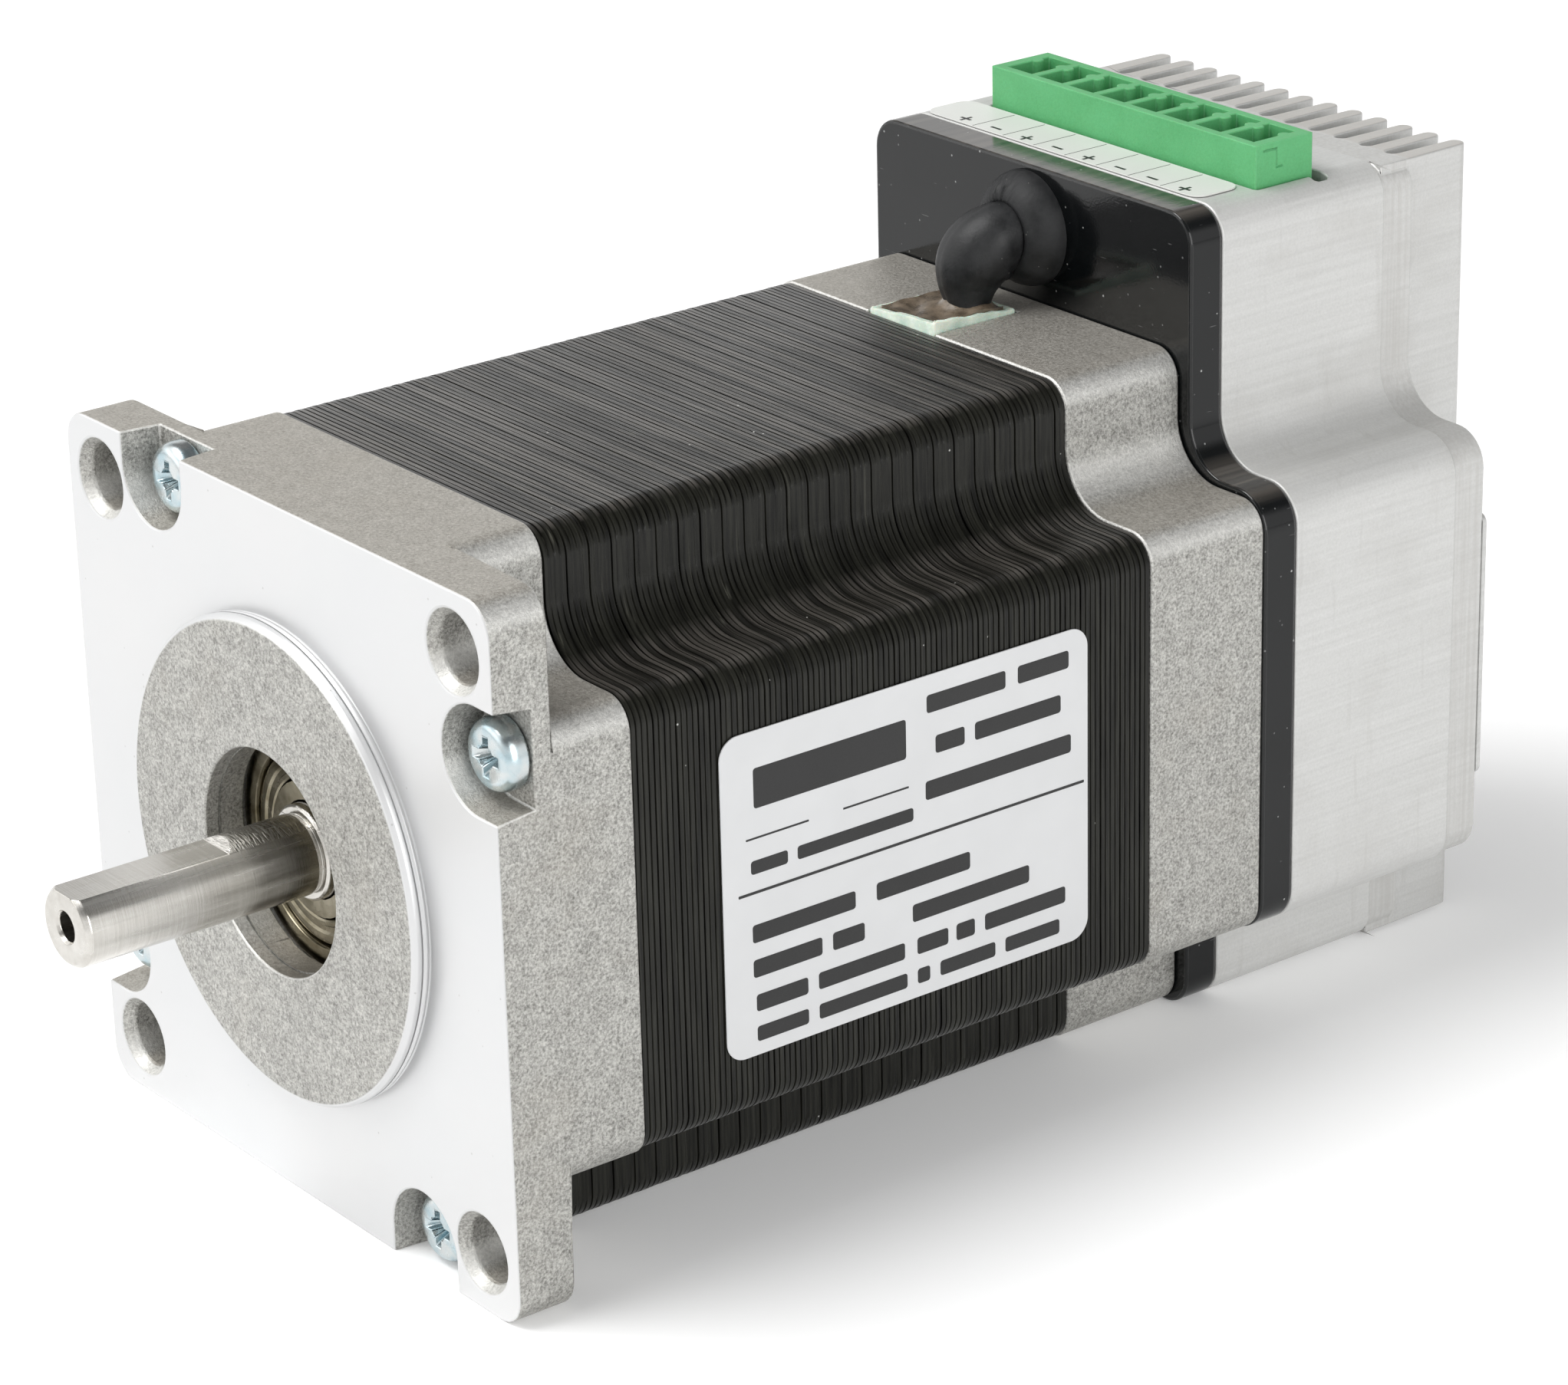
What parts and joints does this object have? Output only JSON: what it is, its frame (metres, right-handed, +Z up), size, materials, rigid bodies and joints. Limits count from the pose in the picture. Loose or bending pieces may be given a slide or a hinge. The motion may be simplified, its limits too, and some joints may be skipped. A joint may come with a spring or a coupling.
{
  "type": "integrated stepper motor with driver",
  "caption": "Square-flange stepper motor with a flatted shaft, a finned driver housing bolted to its back and a plug-in terminal header on top.",
  "frame": {"origin": "centre of the footprint, on the surface that the object stands on", "axes": "+Y from the shaft towards the driver, along the shaft axis; +Z up; +X to the right seen from the shaft end's view along +Y"},
  "size_m": [0.0564, 0.122, 0.0707],
  "materials": {
    "cast_aluminium": "bead-blasted die casting, machined on the mounting face",
    "laminations": "black-varnished electrical steel laminations, edges showing",
    "shaft_steel": "ground and polished",
    "bearing_steel": "polished, oily",
    "zinc_plate": "bright zinc plate",
    "copper_wire": "enamelled copper winding",
    "nylon": "natural nylon",
    "magnet": "ground sintered magnet",
    "black_anodised": "black anodised aluminium, satin",
    "pale_aluminium": "extruded and milled, clear finish",
    "rubber": "moulded black rubber, matt",
    "liner": "pale green insulating sleeve",
    "potting_glue": "brown potting compound, glossy",
    "circuit_board": "solder-masked glass laminate",
    "black_plastic": "moulded, matt",
    "capacitor_can": "sleeved aluminium can",
    "thermal_pad": "soft silicone pad",
    "green_plastic": "moulded polyamide, slightly satin",
    "tin_plate": "tin plated",
    "label_film": "printed polyester film"
  },
  "bodies": {
    "root": {"front_end_bell": "cast_aluminium", "rear_end_bell": "cast_aluminium", "stator_stack": "laminations", "wave_washer": "shaft_steel", "front_bearing_outer_race": "bearing_steel", "front_insulator": "nylon", "rear_bearing_outer_race": "bearing_steel", "rear_insulator": "nylon", "front_bearing_shield": "bearing_steel", "motor_screw_1": "zinc_plate", "motor_screw_2": "zinc_plate", "motor_screw_3": "zinc_plate", "motor_screw_4": "zinc_plate", "plate_screw_1": "zinc_plate", "plate_screw_2": "zinc_plate", "housing_screw_1": "zinc_plate", "housing_screw_2": "zinc_plate", "board_screw_1": "zinc_plate", "board_screw_2": "zinc_plate", "coil_1": "copper_wire", "coil_2": "copper_wire", "coil_3": "copper_wire", "coil_4": "copper_wire", "coil_5": "copper_wire", "coil_6": "copper_wire", "coil_7": "copper_wire", "coil_8": "copper_wire", "lead_bundle": "copper_wire", "adapter_plate": "black_anodised", "driver_housing": "pale_aluminium", "lead_sleeve": "rubber", "cable_grommet": "rubber", "lead_exit_liner": "liner", "potting": "potting_glue", "control_board": "circuit_board", "power_board": "circuit_board", "controller_chip": "black_plastic", "board_connector": "black_plastic", "power_module": "black_plastic", "capacitor": "capacitor_can", "thermal_pad": "thermal_pad", "terminal_header": "green_plastic", "header_pin_1": "tin_plate", "header_pin_2": "tin_plate", "header_pin_3": "tin_plate", "header_pin_4": "tin_plate", "header_pin_5": "tin_plate", "header_pin_6": "tin_plate", "header_pin_7": "tin_plate", "header_pin_8": "tin_plate", "terminal_label": "label_film", "side_label": "label_film"},
    "rotor": {"shaft": "shaft_steel", "front_rotor_core": "laminations", "rear_rotor_core": "laminations", "rotor_magnet": "magnet", "front_bearing_inner_race": "bearing_steel", "rear_bearing_inner_race": "bearing_steel"},
    "front_balls": {"front_bearing_cage": "bearing_steel"},
    "rear_balls": {"rear_bearing_cage": "bearing_steel"}
  },
  "joints": [
    {"name": "shaft_spin", "type": "hinge", "parent": "root", "child": "rotor", "pos_m": [0, -0.04197, 0.0282], "axis": [0, 1, 0], "continuous": true},
    {"name": "front_balls_spin", "type": "hinge", "parent": "root", "child": "front_balls", "pos_m": [0, -0.03678, 0.0282], "axis": [0, 1, 0], "continuous": true},
    {"name": "rear_balls_spin", "type": "hinge", "parent": "root", "child": "rear_balls", "pos_m": [0, 0.02473, 0.0282], "axis": [0, 1, 0], "continuous": true}
  ],
  "couplings": [
    {"joint": "front_balls_spin", "follows": "shaft_spin", "ratio": 0.4237},
    {"joint": "rear_balls_spin", "follows": "shaft_spin", "ratio": 0.4237}
  ]
}
